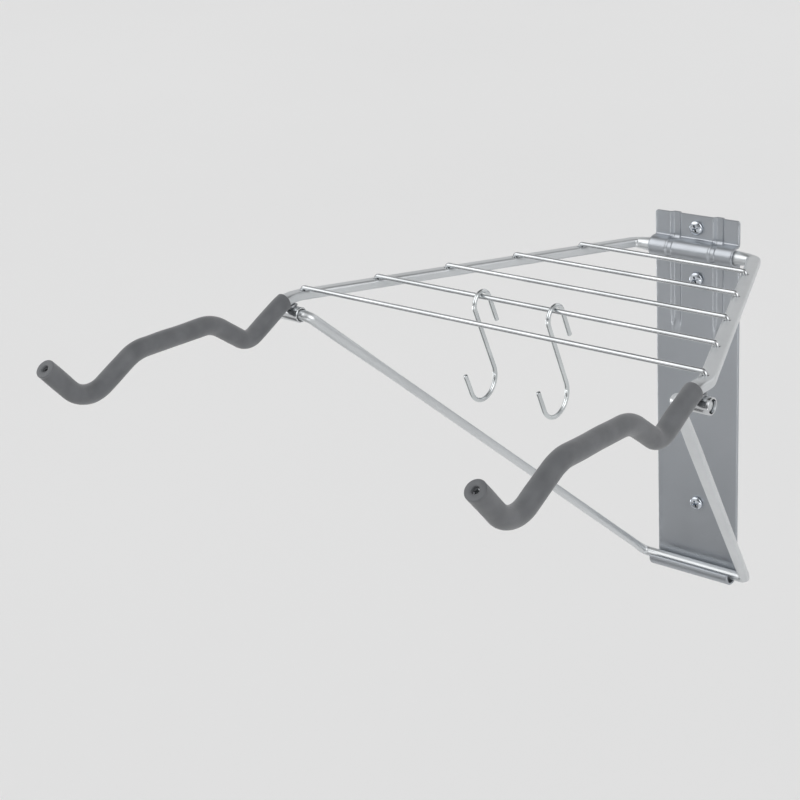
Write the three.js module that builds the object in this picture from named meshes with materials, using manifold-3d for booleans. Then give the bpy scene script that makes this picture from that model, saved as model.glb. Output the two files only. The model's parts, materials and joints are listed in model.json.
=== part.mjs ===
// A wall-mounted rack that folds: a stamped wall plate, a hinged V of flattened tube that carries a
// wire shelf and two padded cradle arms, a U-shaped strut that props it up, and two loose S-hooks.
// Millimetres, +Z up. The wall is the plane y = 0, the rack reaches out towards -Y, and x = 0 is its
// plane of symmetry. The origin is on the back of the wall plate.
import * as THREE from 'three';
import { mergeVertices } from 'three/addons/utils/BufferGeometryUtils.js';
import Module from 'manifold-3d';

const wasm = await Module();
wasm.setup();

const { degToRad, lerp, smoothstep } = THREE.MathUtils;

// Gap kept between two pieces that touch on the real rack.
const GAP = 0.3;

// Wall plate: one sheet, folded into a hinge barrel near its top and a gutter along its bottom.
const SHEET = 2;
const PLATE_WIDTH = 82;
const PLATE_TOP = 166;
const PLATE_CORNER_RADIUS = 2.5;
const GUTTER_CENTRE_Z = -168.25;
const GUTTER_RADIUS = 9.75;
const GUTTER_LIP_RISE = 2.85;
const BEAD_X = 21;
const BEAD_WIDTH = 10;
const BEAD_HEIGHT = 3;
const BEAD_END_Z = 62;
const BEAD_BAND_WIDTH = 6;
const BEAD_BAND_HEIGHT = 1.2;

// Wall screws.
const SCREW_Z = { top: 155, middle: 108.5, bottom: -108.5 };
const SCREW_HEAD_RADIUS = 6.3;
const SCREW_HEAD_HEIGHT = 3.6;
// The head's outline from its face to its rim: share of its height, share of its radius.
const SCREW_HEAD_OUTLINE = [[0, 0.55], [0.2, 0.85], [0.55, 1]];
const SCREW_SHANK_RADIUS = 2.8;
const SCREW_LENGTH = 32;
const SCREW_POINT_LENGTH = 7;
const SCREW_HOLE_RADIUS = 3.3;
const RECESS_WIDTH = 1.5;
const RECESS_SPAN = 6.8;
const RECESS_DEPTH = 2.4;

// Swinging frame. Its own axes are x across, -y outwards from the hinge line, and z square to the V.
const HINGE_TUBE_RADIUS = 6.35;
const HINGE_CLEARANCE = 0.5;
const BARREL_RADIUS = HINGE_TUBE_RADIUS + HINGE_CLEARANCE + SHEET;
const HINGE_Y = -7.2;
const HINGE_Z = 135.5;
const FRAME_RISE = degToRad(4.4);
const HINGE_TUBE_HALF_LENGTH = 38;
const ARM_TUBE_RADIUS = 5.75;
const ARM_FLAT_WIDTH = 11.6;
const ARM_FLAT_HEIGHT = 7.8;
const ARM_X_AT_HINGE = 58;
const ARM_X_AT_CRADLE = 185;
const ARM_BEND_REACH = 303;
const ARM_HINGE_BEND_RADIUS = 8;
const ARM_BEND_RADIUS = 28;
const TIP_REACH = 562.5;
const TIP_HEIGHT = 7;

// The cradle's corners in side view: reach, height and bend radius.
const CRADLE_CORNERS = [
  [319, 0, 35],
  [363.5, -24.6, 16],
  [400.7, 0, 35],
  [479.4, -1, 36],
  [528.2, -28.3, 26],
];

// Soft sleeves over the cradle arms.
const GRIP_RADIUS = 7.3;
const GRIP_START_REACH = 320;
const GRIP_END_WALL = 2.4;
const GRIP_END_HOLE_RADIUS = 2.7;
const TUBE_END_BORE_RADIUS = 1.9;
const TUBE_END_BORE_DEPTH = 5;

// Shelf wires, bent down at both ends into holes in the arms.
const WIRE_RADIUS = 2;
const WIRE_HEIGHT = 6.3;
const WIRE_BEND_RADIUS = 2.4;
const WIRE_COUNT = 5;
const WIRE_FIRST_REACH = 56;
const WIRE_PITCH = 61.2;
const WIRE_INSET = 1.5;
const WIRE_TIP_HEIGHT = 0;

// Strut: a U of flattened rod that hangs in two short pivot sleeves and stands in the gutter.
const SLEEVE_REACH = 312;
const SLEEVE_DROP = 12.8;
const SLEEVE_RADIUS = 6.3;
const SLEEVE_BORE_RADIUS = 5.1;
const SLEEVE_INNER_X = 174.5;
const SLEEVE_OUTER_X = 195;
const STRUT_RADIUS = 4.4;
const STRUT_FLAT_WIDTH = 9.8;
const STRUT_FLAT_HEIGHT = 6.2;
const STRUT_PRESS_SHARES = [0.07, 0.25];
const STRUT_END_X = 194;
const STRUT_TOP_X = 166.5;
const STRUT_FOOT_X = 53;
const STRUT_BEND_RADIUS = 7;
// Where the leg turns round again above its foot: distances before its end.
const STRUT_FOOT_ROUND = [14, 1.75];
const FOOT_Y = -7.3;
const FOOT_DROP = 1.65;

// S-hooks, hanging on one shelf wire with their shanks leaning back.
const HOOK_X = { left: -50, right: 19 };
const HOOK_WIRE_INDEX = 3;
const HOOK_RADIUS = 1.8;
const HOOK_TOP_LOOP = 9.85;
const HOOK_BOTTOM_LOOP = 16.5;
const HOOK_SHANK = 57;
const HOOK_LEAN = degToRad(21.2);
const HOOK_TOP_TAIL = 25;
const HOOK_BOTTOM_TAIL = 18.6;

const ROD_SIDES = 12;
const ROUND_SIDES = 24;
const ARC_STEP = degToRad(14);
// Stations closer than this are one.
const SAME_POINT = 0.01;
// How square the shoulders of a flattened rod are: 1 leaves an ellipse, and 0 makes a box.
const SHOULDER = 0.4;
// How far a cutting shape runs past what it cuts.
const CUT_MARGIN = 5;
// Segments of a bead's round end, along it and round it.
const BEAD_SEGMENTS = [4, 32];

const GREY_PAINT = { color: 0x8c9399, roughness: 0.42, metalness: 0.45 };
const SILVER_PAINT = { color: 0xbec3c3, roughness: 0.4, metalness: 0.4 };
const BRIGHT_ZINC = { color: 0xc8cccd, roughness: 0.25, metalness: 0.9 };
const DARK_RUBBER = { color: 0x5a5c5f, roughness: 0.8, metalness: 0 };

function solidOf(geometry) {
  const bare = geometry.clone();
  bare.deleteAttribute('normal');
  bare.deleteAttribute('uv');
  const merged = mergeVertices(bare);
  return new wasm.Manifold(new wasm.Mesh({
    numProp: 3,
    vertProperties: merged.attributes.position.array,
    triVerts: Uint32Array.from(merged.index.array),
  }));
}

function geometryOf(solid) {
  const mesh = solid.getMesh();
  const geometry = new THREE.BufferGeometry();
  geometry.setAttribute('position', new THREE.Float32BufferAttribute(mesh.vertProperties, 3));
  geometry.setIndex(new THREE.Uint32BufferAttribute(mesh.triVerts, 1));
  geometry.computeVertexNormals();
  return geometry;
}

// One body: the base geometry with others joined on and then others cut away.
function combine(base, { join = [], cut = [] }) {
  let solid = solidOf(base);
  for (const geometry of join) solid = solid.add(solidOf(geometry));
  for (const geometry of cut) solid = solid.subtract(solidOf(geometry));
  return geometryOf(solid);
}

function piece(name, geometry, finish) {
  const mesh = new THREE.Mesh(geometry, new THREE.MeshStandardMaterial(finish));
  mesh.name = name;
  return mesh;
}

// A rod's centre line through corner points, each corner rounded by an arc of its own radius.
// It is sampled at its stations only: the ends of each straight run, and every few degrees of arc.
class BentRod extends THREE.Curve {
  constructor(corners) {
    super();
    this.stations = [];
    const points = corners.map(([x, y, z]) => new THREE.Vector3(x, y, z));
    const headings = points.slice(1).map((point, i) => point.clone().sub(points[i]).normalize());
    this.addStation(points[0], headings[0]);
    for (let i = 1; i < points.length - 1; i += 1) {
      this.addBend(points[i], headings[i - 1], headings[i], corners[i][3]);
    }
    this.addStation(points.at(-1), headings.at(-1));
  }

  addStation(point, tangent) {
    this.stations.push({ point, tangent });
  }

  addBend(corner, before, after, radius) {
    const turn = before.angleTo(after);
    const inward = after.clone().addScaledVector(before, -Math.cos(turn)).normalize();
    const start = corner.clone().addScaledVector(before, -radius * Math.tan(turn / 2));
    const count = Math.max(2, Math.ceil(turn / ARC_STEP));
    for (let i = 0; i <= count; i += 1) {
      const angle = turn * i / count;
      const point = start.clone()
        .addScaledVector(inward, radius * (1 - Math.cos(angle)))
        .addScaledVector(before, radius * Math.sin(angle));
      const tangent = before.clone().multiplyScalar(Math.cos(angle))
        .addScaledVector(inward, Math.sin(angle));
      const gap = point.distanceTo(this.stations.at(-1).point);
      if (gap > SAME_POINT) this.addStation(point, tangent);
    }
  }

  // Drops what lies before a given reach, and starts there instead.
  startAt(reach) {
    const next = this.stations.findIndex(({ point }) => -point.y > reach);
    const [before, after] = [this.stations[next - 1], this.stations[next]];
    const share = (reach + before.point.y) / (before.point.y - after.point.y);
    const point = before.point.clone().lerp(after.point, share);
    const tangent = before.tangent.clone().lerp(after.tangent, share).normalize();
    this.stations.splice(0, next, { point, tangent });
    return this;
  }

  nearestStation(point) {
    const away = (station) => station.point.distanceToSquared(point);
    return this.stations.reduce((best, station) => (away(station) < away(best) ? station : best));
  }

  get steps() {
    return this.stations.length - 1;
  }

  getPointAt(u, target = new THREE.Vector3()) {
    return target.copy(this.stations[Math.round(u * this.steps)].point);
  }

  getTangentAt(u, target = new THREE.Vector3()) {
    return target.copy(this.stations[Math.round(u * this.steps)].tangent);
  }
}

function roundSection(radius) {
  const points = [];
  for (let i = 0; i < ROD_SIDES; i += 1) {
    const angle = 2 * Math.PI * i / ROD_SIDES;
    points.push(new THREE.Vector2(radius * Math.cos(angle), radius * Math.sin(angle)));
  }
  return new THREE.Shape(points);
}

function sweep(path, radius) {
  return new THREE.ExtrudeGeometry(roundSection(radius), {
    extrudePath: path,
    steps: path.steps,
  });
}

function rod(corners, radius) {
  return sweep(new BentRod(corners), radius);
}

// A solid of revolution about the x axis, from [x, radius] points that start and end on the axis
// or close on themselves.
function turnedAlongX(profile) {
  const points = profile.map(([x, radius]) => new THREE.Vector2(radius, x));
  return new THREE.LatheGeometry(points, ROUND_SIDES).rotateZ(-Math.PI / 2);
}

function cylinderAlong(axis, radius, length) {
  const geometry = new THREE.CylinderGeometry(radius, radius, length, ROUND_SIDES);
  if (axis === 'x') geometry.rotateZ(Math.PI / 2);
  if (axis === 'z') geometry.rotateX(Math.PI / 2);
  return geometry;
}

// Presses a round rod that bends in the x, y plane towards a flat section with square shoulders,
// by a share from 0 to 1 that depends on the point of its centre line.
function pressFlat(geometry, path, width, height, shareAt) {
  const position = geometry.attributes.position;
  const vertex = new THREE.Vector3();
  const shouldered = (value) => Math.sign(value) * Math.abs(value) ** SHOULDER;
  for (let i = 0; i < position.count; i += 1) {
    vertex.fromBufferAttribute(position, i);
    const { point, tangent } = path.nearestStation(vertex);
    const across = new THREE.Vector3(tangent.y, -tangent.x, 0).normalize();
    const offset = vertex.clone().sub(point);
    const angle = Math.atan2(offset.z, offset.dot(across));
    const pressed = point.clone().addScaledVector(across, shouldered(Math.cos(angle)) * width / 2);
    pressed.z += shouldered(Math.sin(angle)) * height / 2;
    vertex.lerp(pressed, shareAt(point));
    position.setXYZ(i, ...vertex.toArray());
  }
  return geometry;
}

// Wall plate ------------------------------------------------------------------------------------

// The folded sheet's outline in the y, z plane, from the top down the front and back up the wall
// face. The barrel is still solid here.
function plateProfile() {
  const gutterInside = GUTTER_RADIUS - SHEET;
  const lipTop = GUTTER_CENTRE_Z + GUTTER_LIP_RISE;
  const shape = new THREE.Shape();
  shape.moveTo(-SHEET, PLATE_TOP);
  shape.lineTo(-SHEET, HINGE_Z + BARREL_RADIUS);
  shape.lineTo(HINGE_Y, HINGE_Z + BARREL_RADIUS);
  shape.absarc(HINGE_Y, HINGE_Z, BARREL_RADIUS, Math.PI / 2, Math.PI * 3 / 2, false);
  shape.lineTo(-SHEET, HINGE_Z - BARREL_RADIUS);
  shape.lineTo(-SHEET, GUTTER_CENTRE_Z);
  shape.absarc(-GUTTER_RADIUS, GUTTER_CENTRE_Z, gutterInside, 0, Math.PI, true);
  shape.lineTo(-GUTTER_RADIUS - gutterInside, lipTop);
  shape.lineTo(-2 * GUTTER_RADIUS, lipTop);
  shape.lineTo(-2 * GUTTER_RADIUS, GUTTER_CENTRE_Z);
  shape.absarc(-GUTTER_RADIUS, GUTTER_CENTRE_Z, GUTTER_RADIUS, Math.PI, 2 * Math.PI, false);
  shape.lineTo(0, PLATE_TOP);
  shape.closePath();
  return shape;
}

// Extrudes a y, z outline along x, centred on a given x.
function extrudeAcross(shape, centreX, width) {
  const geometry = new THREE.ExtrudeGeometry(shape, { depth: width, bevelEnabled: false });
  geometry.rotateX(Math.PI / 2).rotateZ(Math.PI / 2);
  return geometry.translate(centreX - width / 2, 0, 0);
}

// What the two rounded top corners of the plate lose.
function cornerOffcut(side) {
  const radius = PLATE_CORNER_RADIUS;
  const edge = side * PLATE_WIDTH / 2;
  const shape = new THREE.Shape();
  shape.moveTo(edge + side * CUT_MARGIN, PLATE_TOP + CUT_MARGIN);
  shape.lineTo(edge - side * radius, PLATE_TOP + CUT_MARGIN);
  shape.lineTo(edge - side * radius, PLATE_TOP);
  const from = Math.PI / 2;
  const to = side > 0 ? 0 : Math.PI;
  shape.absarc(edge - side * radius, PLATE_TOP - radius, radius, from, to, side > 0);
  shape.lineTo(edge + side * CUT_MARGIN, PLATE_TOP - radius);
  shape.closePath();
  const depth = SHEET + 2 * CUT_MARGIN;
  const geometry = new THREE.ExtrudeGeometry(shape, { depth, bevelEnabled: false });
  return geometry.rotateX(Math.PI / 2).translate(0, CUT_MARGIN, 0);
}

// A bead's rounded ridge, and at a smaller radius the groove behind it: a long capsule whose axis
// lies behind the plate. It runs off the plate's top edge.
function beadCapsule(x, inset) {
  const half = BEAD_WIDTH / 2;
  const ridgeRadius = (half * half + BEAD_HEIGHT * BEAD_HEIGHT) / (2 * BEAD_HEIGHT);
  const radius = ridgeRadius - inset;
  const axisY = ridgeRadius - BEAD_HEIGHT - SHEET;
  const lowZ = BEAD_END_Z + half;
  const highZ = PLATE_TOP + 2 * ridgeRadius;
  const capsule = new THREE.CapsuleGeometry(radius, highZ - lowZ, ...BEAD_SEGMENTS);
  return capsule.rotateX(Math.PI / 2).translate(x, axisY, (highZ + lowZ) / 2);
}

// The ridge is only what stands in front of the sheet's middle, below the plate's top.
function beadRidge(x) {
  const front = new THREE.BoxGeometry(2 * BEAD_WIDTH, CUT_MARGIN, PLATE_TOP - BEAD_END_Z + CUT_MARGIN);
  front.translate(x, -SHEET / 2 - CUT_MARGIN / 2, (PLATE_TOP + BEAD_END_Z - CUT_MARGIN) / 2);
  return geometryOf(solidOf(beadCapsule(x, 0)).intersect(solidOf(front)));
}

// A half-round nose over the hinge line, from a given y forwards.
function barrelNose(x, width, radius, backY) {
  const shape = new THREE.Shape();
  shape.moveTo(backY, HINGE_Z + radius);
  shape.lineTo(HINGE_Y, HINGE_Z + radius);
  shape.absarc(HINGE_Y, HINGE_Z, radius, Math.PI / 2, Math.PI * 3 / 2, false);
  shape.lineTo(backY, HINGE_Z - radius);
  shape.closePath();
  return extrudeAcross(shape, x, width);
}

// The grooves stop at the barrel, so that they don't open into the hinge tube's channel.
function beadGroove(x) {
  const keep = new THREE.BoxGeometry(2 * BEAD_WIDTH, 4 * CUT_MARGIN, 2 * BARREL_RADIUS);
  keep.translate(x, 0, HINGE_Z);
  return geometryOf(solidOf(beadCapsule(x, BEAD_HEIGHT)).subtract(solidOf(keep)));
}

function screwHole(z) {
  return cylinderAlong('y', SCREW_HOLE_RADIUS, 2 * SHEET + 2 * CUT_MARGIN).translate(0, 0, z);
}

function wallPlate() {
  const sides = [-1, 1];
  const sheet = extrudeAcross(plateProfile(), 0, PLATE_WIDTH);
  const bandRadius = BARREL_RADIUS + BEAD_BAND_HEIGHT;
  const ridges = sides.map((side) => beadRidge(side * BEAD_X));
  const bands = sides.map((side) => {
    return barrelNose(side * BEAD_X, BEAD_BAND_WIDTH, bandRadius, -SHEET / 2);
  });
  const channel = barrelNose(0, PLATE_WIDTH + 2 * CUT_MARGIN, BARREL_RADIUS - SHEET, CUT_MARGIN);
  return piece('wall_plate', combine(sheet, {
    join: [...ridges, ...bands],
    cut: [
      channel,
      ...sides.map((side) => beadGroove(side * BEAD_X)),
      ...sides.map(cornerOffcut),
      ...Object.values(SCREW_Z).map(screwHole),
    ],
  }), GREY_PAINT);
}

// A pan-head screw with a cross recess, its plain shank running on into the wall.
function wallScrew(name, z) {
  const underHead = -SHEET - GAP;
  const face = underHead - SCREW_HEAD_HEIGHT;
  const tip = underHead + SCREW_LENGTH;
  const body = turnedAlongX([
    [face, 0],
    ...SCREW_HEAD_OUTLINE.map(([rise, spread]) => {
      return [face + SCREW_HEAD_HEIGHT * rise, SCREW_HEAD_RADIUS * spread];
    }),
    [underHead, SCREW_HEAD_RADIUS],
    [underHead, SCREW_SHANK_RADIUS],
    [tip - SCREW_POINT_LENGTH, SCREW_SHANK_RADIUS],
    [tip, 0],
  ]).rotateZ(Math.PI / 2);
  const slots = [0, Math.PI / 2].map((angle) => {
    const slot = new THREE.BoxGeometry(RECESS_SPAN, 2 * RECESS_DEPTH, RECESS_WIDTH);
    return slot.rotateY(angle).translate(0, face, 0);
  });
  const screw = piece(name, combine(body, { cut: slots }), BRIGHT_ZINC);
  screw.position.z = z;
  return screw;
}

// Swinging frame --------------------------------------------------------------------------------

// How far across an arm's centre line is, at a given reach along the V.
function armX(reach) {
  return lerp(ARM_X_AT_HINGE, ARM_X_AT_CRADLE, reach / ARM_BEND_REACH);
}

function wireReach(index) {
  return WIRE_FIRST_REACH + WIRE_PITCH * index;
}

function wireEndX(index) {
  return armX(wireReach(index)) - WIRE_INSET;
}

function cradleCorners(side) {
  const x = side * ARM_X_AT_CRADLE;
  const bends = CRADLE_CORNERS.map(([reach, height, radius]) => [x, -reach, height, radius]);
  return [...bends, [x, -TIP_REACH, TIP_HEIGHT]];
}

// The last corner of a line of corners, moved along its run by a signed distance.
function movedEnd(corners, distance) {
  const end = new THREE.Vector3(...corners.at(-1));
  const before = new THREE.Vector3(...corners.at(-2));
  const heading = end.clone().sub(before).normalize();
  return [...corners.slice(0, -1), end.addScaledVector(heading, distance).toArray()];
}

// A short cylinder on the axis of a line of corners' last run, centred on its end.
function endDrill(corners, radius, length) {
  const end = new THREE.Vector3(...corners.at(-1));
  const heading = end.clone().sub(new THREE.Vector3(...corners.at(-2))).normalize();
  const turn = new THREE.Quaternion().setFromUnitVectors(new THREE.Vector3(0, 1, 0), heading);
  return cylinderAlong('y', radius, length).applyQuaternion(turn).translate(...end.toArray());
}

function hingeTube() {
  const length = 2 * (HINGE_TUBE_HALF_LENGTH - GAP);
  return piece('hinge_tube', cylinderAlong('x', HINGE_TUBE_RADIUS, length), SILVER_PAINT);
}

// An arm: out from the hinge tube, along the V where it is pressed flat, then the round cradle.
function arm(name, side) {
  const corners = movedEnd([
    [side * HINGE_TUBE_HALF_LENGTH, 0, 0],
    [side * ARM_X_AT_HINGE, 0, 0, ARM_HINGE_BEND_RADIUS],
    [side * ARM_X_AT_CRADLE, -ARM_BEND_REACH, 0, ARM_BEND_RADIUS],
    ...cradleCorners(side),
  ], -GRIP_END_WALL - GAP);
  const path = new BentRod(corners);
  const tube = sweep(path, ARM_TUBE_RADIUS);
  pressFlat(tube, path, ARM_FLAT_WIDTH, ARM_FLAT_HEIGHT, ({ x, y }) => {
    const bendStart = ARM_X_AT_HINGE - ARM_HINGE_BEND_RADIUS;
    const begun = smoothstep(Math.abs(x), bendStart, ARM_X_AT_HINGE);
    const ended = smoothstep(-y, ARM_BEND_REACH, GRIP_START_REACH - GAP);
    return begun * (1 - ended);
  });
  const holes = Array.from({ length: WIRE_COUNT }, (_, i) => {
    const hole = cylinderAlong('z', WIRE_RADIUS + GAP, ARM_TUBE_RADIUS);
    const lift = WIRE_TIP_HEIGHT - GAP + ARM_TUBE_RADIUS / 2;
    return hole.translate(side * wireEndX(i), -wireReach(i), lift);
  });
  const bore = endDrill(corners, TUBE_END_BORE_RADIUS, 2 * TUBE_END_BORE_DEPTH);
  return piece(name, combine(tube, { cut: [...holes, bore] }), SILVER_PAINT);
}

function shelfWire(index) {
  const x = wireEndX(index);
  const y = -wireReach(index);
  const geometry = rod([
    [-x, y, WIRE_TIP_HEIGHT],
    [-x, y, WIRE_HEIGHT, WIRE_BEND_RADIUS],
    [x, y, WIRE_HEIGHT, WIRE_BEND_RADIUS],
    [x, y, WIRE_TIP_HEIGHT],
  ], WIRE_RADIUS);
  return piece(`shelf_wire_${index + 1}`, geometry, BRIGHT_ZINC);
}

// A sleeve round the cradle, with an end wall that leaves a small hole at the tip.
function grip(name, side) {
  const corners = [
    [side * ARM_X_AT_CRADLE, -ARM_BEND_REACH, 0],
    ...cradleCorners(side),
  ];
  const outside = new BentRod(corners).startAt(GRIP_START_REACH);
  const geometry = combine(sweep(outside, GRIP_RADIUS), {
    cut: [
      rod(movedEnd(corners, -GRIP_END_WALL), ARM_TUBE_RADIUS + GAP),
      endDrill(corners, GRIP_END_HOLE_RADIUS, 2 * GRIP_END_WALL + CUT_MARGIN),
    ],
  });
  return piece(name, geometry, DARK_RUBBER);
}

// A short open sleeve across the underside of an arm.
function pivotSleeve(name, side) {
  const [from, to] = [SLEEVE_INNER_X, SLEEVE_OUTER_X];
  const sleeve = turnedAlongX([
    [from, SLEEVE_RADIUS],
    [to, SLEEVE_RADIUS],
    [to, SLEEVE_BORE_RADIUS],
    [from, SLEEVE_BORE_RADIUS],
    [from, SLEEVE_RADIUS],
  ]);
  if (side < 0) sleeve.rotateZ(Math.PI);
  const mesh = piece(name, sleeve, SILVER_PAINT);
  mesh.position.set(0, -SLEEVE_REACH, -SLEEVE_DROP);
  return mesh;
}

function swingingFrame() {
  const frame = new THREE.Group();
  frame.add(hingeTube());
  for (const [name, side] of [['left', -1], ['right', 1]]) {
    frame.add(arm(`${name}_arm`, side));
    frame.add(grip(`${name}_grip`, side));
    frame.add(pivotSleeve(`${name}_pivot_sleeve`, side));
  }
  for (let i = 0; i < WIRE_COUNT; i += 1) frame.add(shelfWire(i));
  frame.position.set(0, HINGE_Y, HINGE_Z);
  frame.rotation.x = -FRAME_RISE;
  frame.updateMatrixWorld(true);
  return frame;
}

// Strut -----------------------------------------------------------------------------------------

// The strut's outline drawn flat, with the pivot line on the x axis and the foot towards +y. The
// legs' two extra corners don't bend: the leg is pressed flat between them.
function strutCorners(length) {
  const legPoints = STRUT_PRESS_SHARES.map((share) => {
    return [lerp(STRUT_TOP_X, STRUT_FOOT_X, share), length * share, 0, 0];
  });
  const half = [
    [STRUT_END_X, 0, 0],
    [STRUT_TOP_X, 0, 0, STRUT_BEND_RADIUS],
    ...legPoints,
    [STRUT_FOOT_X, length, 0, STRUT_BEND_RADIUS],
  ];
  const mirrored = half.map(([x, ...rest]) => [-x, ...rest]);
  return [...mirrored, ...half.reverse()];
}

// The legs start round and are pressed wide and thin, and the cross run at the foot is round.
function strut(frame) {
  const pivot = frame.localToWorld(new THREE.Vector3(0, -SLEEVE_REACH, -SLEEVE_DROP));
  const foot = new THREE.Vector3(0, FOOT_Y, GUTTER_CENTRE_Z - FOOT_DROP);
  const length = pivot.distanceTo(foot);
  const path = new BentRod(strutCorners(length));
  const bar = sweep(path, STRUT_RADIUS);
  pressFlat(bar, path, STRUT_FLAT_WIDTH, STRUT_FLAT_HEIGHT, ({ y }) => {
    const [from, to] = STRUT_PRESS_SHARES;
    const begun = smoothstep(y / length, from, to);
    const ended = smoothstep(y, length - STRUT_FOOT_ROUND[0], length - STRUT_FOOT_ROUND[1]);
    return begun * (1 - ended);
  });
  const mesh = piece('support_strut', bar, SILVER_PAINT);
  mesh.position.copy(pivot);
  mesh.rotation.x = Math.atan2(foot.z - pivot.z, foot.y - pivot.y);
  return mesh;
}

// S-hooks ---------------------------------------------------------------------------------------

// Drawn upright round the centre of its upper loop, shank at y = -radius, then leant back.
function sHook(name, x, frame) {
  const wire = new THREE.Vector3(0, -wireReach(HOOK_WIRE_INDEX), WIRE_HEIGHT);
  const centre = frame.localToWorld(wire);
  centre.z -= HOOK_TOP_LOOP - HOOK_RADIUS - WIRE_RADIUS - GAP;
  const [top, bottom] = [HOOK_TOP_LOOP, HOOK_BOTTOM_LOOP];
  const shankY = -top;
  const frontY = shankY - 2 * bottom;
  const geometry = rod([
    [0, top, -HOOK_TOP_TAIL],
    [0, top, top, top],
    [0, shankY, top, top],
    [0, shankY, -HOOK_SHANK - bottom, bottom],
    [0, frontY, -HOOK_SHANK - bottom, bottom],
    [0, frontY, -HOOK_SHANK + HOOK_BOTTOM_TAIL],
  ], HOOK_RADIUS);
  const mesh = piece(name, geometry, BRIGHT_ZINC);
  mesh.rotation.x = HOOK_LEAN;
  mesh.position.copy(centre).setX(x);
  return mesh;
}

const rack = new THREE.Group();
rack.add(wallPlate());
for (const [place, z] of Object.entries(SCREW_Z)) rack.add(wallScrew(`wall_screw_${place}`, z));
const frame = swingingFrame();
rack.add(frame);
rack.add(strut(frame));
for (const [side, x] of Object.entries(HOOK_X)) rack.add(sHook(`s_hook_${side}`, x, frame));

export default rack;
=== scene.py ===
"""Looks for a wall-mounted folding rack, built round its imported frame.

The tubes, wires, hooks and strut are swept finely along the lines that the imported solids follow, the
wall plate is a stamped sheet, and screws and sleeves are turned. Metres, with the wall at y = 0 and
the rack reaching to -Y. Corner lists below are in millimetres and are turned into metres once.
"""
import json
import math

import bmesh
import bpy
from mathutils import Matrix, Vector, noise


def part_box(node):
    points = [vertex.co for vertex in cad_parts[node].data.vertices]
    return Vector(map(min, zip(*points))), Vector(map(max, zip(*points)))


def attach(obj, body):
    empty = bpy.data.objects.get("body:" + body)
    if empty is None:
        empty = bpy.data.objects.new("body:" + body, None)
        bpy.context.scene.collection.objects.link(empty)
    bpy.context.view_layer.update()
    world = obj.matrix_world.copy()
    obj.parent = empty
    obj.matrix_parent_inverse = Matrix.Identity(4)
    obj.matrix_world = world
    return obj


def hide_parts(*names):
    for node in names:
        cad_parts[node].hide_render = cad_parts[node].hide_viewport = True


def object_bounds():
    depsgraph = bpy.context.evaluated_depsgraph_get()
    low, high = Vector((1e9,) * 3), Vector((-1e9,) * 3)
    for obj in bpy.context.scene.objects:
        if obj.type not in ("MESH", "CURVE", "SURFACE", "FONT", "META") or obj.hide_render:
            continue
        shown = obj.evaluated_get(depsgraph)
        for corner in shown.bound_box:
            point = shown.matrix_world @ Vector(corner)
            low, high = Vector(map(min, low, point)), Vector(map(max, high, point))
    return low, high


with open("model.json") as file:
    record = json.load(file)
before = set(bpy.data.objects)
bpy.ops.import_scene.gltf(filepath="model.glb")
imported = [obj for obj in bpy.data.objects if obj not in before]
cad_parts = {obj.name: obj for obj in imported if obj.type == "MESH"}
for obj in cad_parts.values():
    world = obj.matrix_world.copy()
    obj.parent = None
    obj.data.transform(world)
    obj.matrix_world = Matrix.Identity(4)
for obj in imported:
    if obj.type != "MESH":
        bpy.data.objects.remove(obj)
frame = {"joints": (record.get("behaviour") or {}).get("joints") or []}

cad_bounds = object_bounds()
MM = 0.001

# Camera: where it stands, which way it looks, its roll, and its lens and sensor in millimetres.
CAMERA_PLACE = Vector((0.7248, -1.2569, 0.6071))
CAMERA_AZIMUTH = math.radians(40.5715)
CAMERA_ELEVATION = math.radians(22.5812)
CAMERA_ROLL = math.radians(-4.1158)
CAMERA_LENS = 77.8237
SENSOR_WIDTH = 36

# Stage: a pale floor well below the rack, under a soft sky.
FLOOR_DROP = 0.9
FLOOR_SIZE = 30.0
SKY_LEVEL = 0.56
SKY_DARKEST = 0.03
# Soft boxes and dark flags in the sky: direction, cosines where its edge starts and ends, brightness.
SKY_AREAS = [
    (Vector((-0.55, -0.60, 0.58)), 0.80, 0.94, 1.45),
    (Vector((0.80, -0.35, 0.50)), 0.84, 0.96, 1.8),
    (Vector((-0.55, 0.72, 0.42)), 0.84, 0.97, 0.12),
    (Vector((0.25, 0.80, 0.30)), 0.88, 0.98, 0.4),
    (Vector((-0.20, 0.45, 0.87)), 0.86, 0.95, -0.48),
    (Vector((0.10, -0.95, 0.30)), 0.86, 0.97, -0.38),
]
# Brightness of the sky as the camera itself sees it, above the floor's edge.
SKY_SEEN = 0.75
# Cards that only reflections see, lying level just above the floor: place, size, brightness.
# The first darkens the flat plate, the others put bright lines on the slopes of its ridges.
CARDS = [
    (Vector((-1.05, -1.15, 0)), (1.7, 1.3), 0.28),
    (Vector((-3.8, 0.2, 0)), (2.2, 2.0), 4.5),
    (Vector((1.2, -3.7, 0)), (1.6, 1.4), 4.5),
]
CARD_LIFT = 0.02

JOINT_PLACE = {joint["name"]: Vector(joint["pos_m"]) for joint in frame["joints"]}

# Wall plate: its radii are those of the sheet's middle line.
SHEET = 2 * MM
PLATE_CORNER = 2.5 * MM
# Shares of the top corners' depth at which the sheet gets a ring.
CORNER_SHARES = (0.06, 0.2, 0.4, 0.7, 1)
BARREL_MIDDLE_RADIUS = 7.85 * MM
BARREL_FILLET = 2.4 * MM
GUTTER_MIDDLE_RADIUS = 8.75 * MM
GUTTER_CENTRE_Z = -168.25 * MM
LIP_RISE = 2.85 * MM
BEAD_X = 21 * MM
BEAD_HALF_WIDTH = 5.6 * MM
BEAD_HEIGHT = 2.7 * MM
BEAD_CROWN = 0.45
BAND_HALF_WIDTH = 3.6 * MM
BAND_HEIGHT = 1.25 * MM
BEAD_END_Z = 62 * MM
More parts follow.
